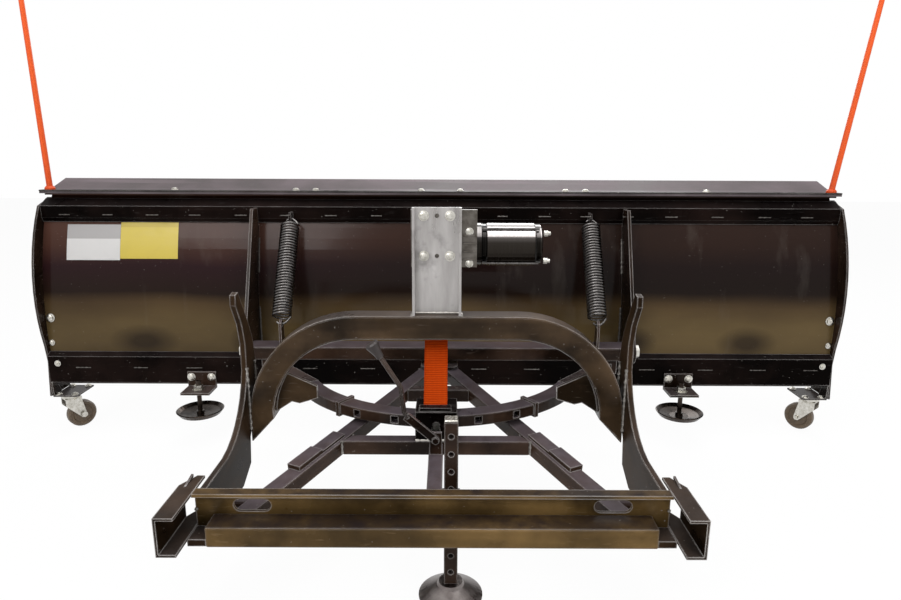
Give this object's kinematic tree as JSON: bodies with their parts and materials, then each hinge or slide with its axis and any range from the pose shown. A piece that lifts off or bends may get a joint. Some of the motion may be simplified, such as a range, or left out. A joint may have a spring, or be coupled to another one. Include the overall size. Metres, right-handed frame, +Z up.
{
  "type": "atv snow plow",
  "caption": "Curved snow plow blade on a spring-trip, angle-adjustable push frame with a tube lift arch, electric winch and strap, jack leg, skid shoes and casters.",
  "frame": {"origin": "middle of the bounding box at floor level", "axes": "+Z up, +Y towards the blade's front, +X to the plow's right as seen from the vehicle"},
  "size_m": [2.1907, 0.993, 1.2703],
  "materials": {
    "paint": "gloss black powder coat",
    "zinc": "zinc plated",
    "steel": "dark steel",
    "rubber": "matte",
    "orange": "satin",
    "webbing": "woven",
    "webbing_drum": "steel drum wrapped with the strap",
    "tread": "satin"
  },
  "bodies": {
    "push_frame": {"push_tube_left": "paint", "push_tube_right": "paint", "apex_plate": "paint", "king_pin": "zinc", "mid_cross_tube": "paint", "centre_tube": "paint", "front_cross_bar": "paint", "lock_housing": "paint", "jack_sleeve": "paint"},
    "swing_frame": {"trip_tube": "paint", "angle_sector": "paint", "sector_arm_left": "paint", "sector_arm_right": "paint", "trip_bolt_left": "zinc", "trip_bolt_right": "zinc"},
    "blade": {"moldboard": "paint", "upper_flange": "paint", "lower_stiffener": "paint", "cutting_edge": "paint", "snow_deflector": "rubber", "clamp_strip": "paint", "end_plate_left": "paint", "end_plate_right": "paint", "rib_left": "paint", "rib_right": "paint", "marker_left": "orange", "marker_right": "orange", "trip_spring_left": "steel", "trip_spring_right": "steel", "skid_bracket_left": "paint", "skid_bracket_right": "paint", "caster_bracket_left": "paint", "caster_bracket_right": "paint"},
    "skid_left": {"skid_shoe_left": "steel"},
    "skid_right": {"skid_shoe_right": "steel"},
    "caster_left": {"caster_fork_left": "zinc", "caster_axle_left": "zinc"},
    "caster_right": {"caster_fork_right": "zinc", "caster_axle_right": "zinc"},
    "wheel_left": {"caster_wheel_left": "tread"},
    "wheel_right": {"caster_wheel_right": "tread"},
    "lift_frame": {"base_angle": "paint", "lower_bar": "paint", "lift_arch": "paint", "winch_channel": "paint", "winch_body": "steel", "winch_motor": "steel", "lift_strap": "webbing", "guide_left": "paint", "guide_right": "paint", "side_plate_left": "paint", "side_plate_right": "paint", "lift_bolt_left": "zinc", "lift_bolt_right": "zinc"},
    "drum": {"winch_drum": "webbing_drum"},
    "jack": {"jack_leg": "paint", "jack_foot": "steel"},
    "lever": {"lock_lever": "paint", "lever_knob": "rubber"},
    "pin": {"lock_pin": "zinc"}
  },
  "joints": [
    {"name": "blade_swing", "type": "hinge", "parent": "push_frame", "child": "swing_frame", "pos_m": [-0.0286, 0.2095, 0.273], "axis": [0, 0, 1], "range_deg": [-28, 28]},
    {"name": "blade_trip", "type": "hinge", "parent": "swing_frame", "child": "blade", "pos_m": [-0.0286, 0.2095, 0.273], "axis": [-1, 0, 0], "range_deg": [0, 25], "stiffness_Nm_per_rad": 1500, "springref_deg": -6.88, "deforming": ["trip_spring_left", "trip_spring_right"]},
    {"name": "frame_lift", "type": "hinge", "parent": "push_frame", "child": "lift_frame", "pos_m": [-0.0286, -0.3355, 0.163], "axis": [-1, 0, 0], "range_deg": [-20, 0], "deforming": ["lift_strap"]},
    {"name": "winch_drum_spin", "type": "hinge", "parent": "lift_frame", "child": "drum", "pos_m": [-0.0286, -0.0185, 0.578], "axis": [1, 0, 0], "range_deg": [0, 105]},
    {"name": "jack_height", "type": "slide", "parent": "push_frame", "child": "jack", "axis": [0, 0, 1], "range_m": [-0.06, 0.1]},
    {"name": "lock_lever_turn", "type": "hinge", "parent": "push_frame", "child": "lever", "pos_m": [-0.0286, -0.2085, 0.226], "axis": [0, -1, 0], "range_deg": [0, 25]},
    {"name": "lock_pin_slide", "type": "slide", "parent": "push_frame", "child": "pin", "axis": [0, 1, 0], "range_m": [0, 0.0151]},
    {"name": "skid_height_left", "type": "slide", "parent": "blade", "child": "skid_left", "axis": [0, 0, 1], "range_m": [-0.02, 0.045]},
    {"name": "caster_swivel_left", "type": "hinge", "parent": "blade", "child": "caster_left", "pos_m": [-1.0646, 0.3445, 0], "axis": [0, 0, 1], "continuous": true},
    {"name": "wheel_spin_left", "type": "hinge", "parent": "caster_left", "child": "wheel_left", "pos_m": [-1.05046, 0.36135, 0.0375], "axis": [0.766, -0.6428, 0], "continuous": true},
    {"name": "skid_height_right", "type": "slide", "parent": "blade", "child": "skid_right", "axis": [0, 0, 1], "range_m": [-0.02, 0.045]},
    {"name": "caster_swivel_right", "type": "hinge", "parent": "blade", "child": "caster_right", "pos_m": [1.0074, 0.3445, 0], "axis": [0, 0, 1], "continuous": true},
    {"name": "wheel_spin_right", "type": "hinge", "parent": "caster_right", "child": "wheel_right", "pos_m": [0.99326, 0.36135, 0.0375], "axis": [0.766, 0.6428, 0], "continuous": true}
  ],
  "couplings": [
    {"joint": "winch_drum_spin", "follows": "frame_lift", "ratio": -5.2},
    {"joint": "lock_pin_slide", "follows": "lock_lever_turn", "m_per_rad": 0.0344}
  ]
}
